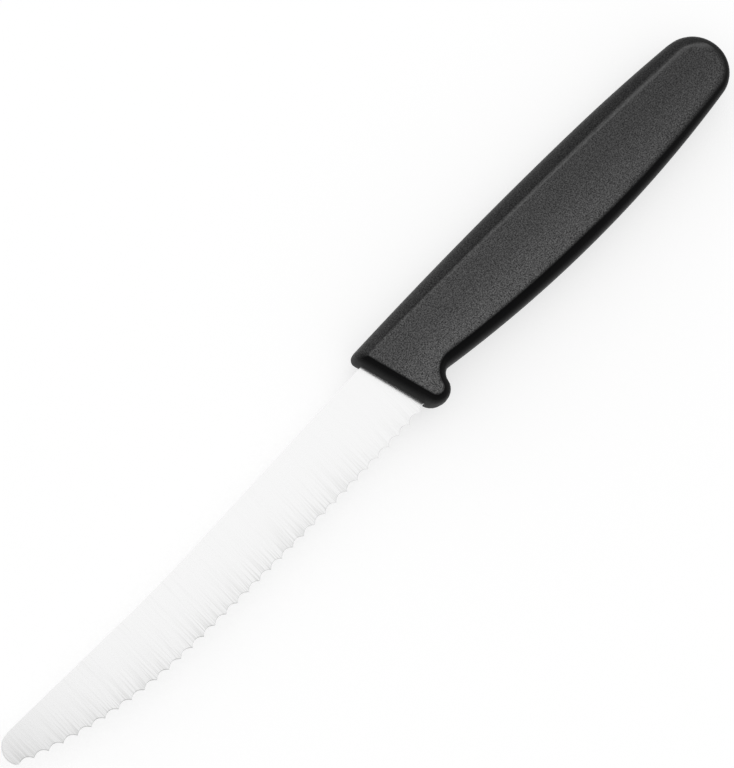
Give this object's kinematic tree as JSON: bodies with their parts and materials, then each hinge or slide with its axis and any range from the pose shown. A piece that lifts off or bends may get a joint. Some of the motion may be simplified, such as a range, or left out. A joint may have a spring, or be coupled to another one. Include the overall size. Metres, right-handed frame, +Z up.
{
  "type": "tomato knife",
  "caption": "Small kitchen knife with a thin, round-tipped, serrated steel blade and a slim black moulded handle with flat textured sides.",
  "frame": {"origin": "centre of the bottom of the bounding box, on the plane of the side panel that the knife lies on", "axes": "+X from the round tip to the butt, +Y from the cutting edge to the spine, +Z up through the thickness"},
  "size_m": [0.2146, 0.0224, 0.012],
  "materials": {
    "blade_steel": "fine grinding marks across the blade",
    "handle_plastic": "fine textured side panels with smoother borders"
  },
  "bodies": {
    "root": {"blade": "blade_steel", "handle": "handle_plastic"}
  },
  "joints": []
}
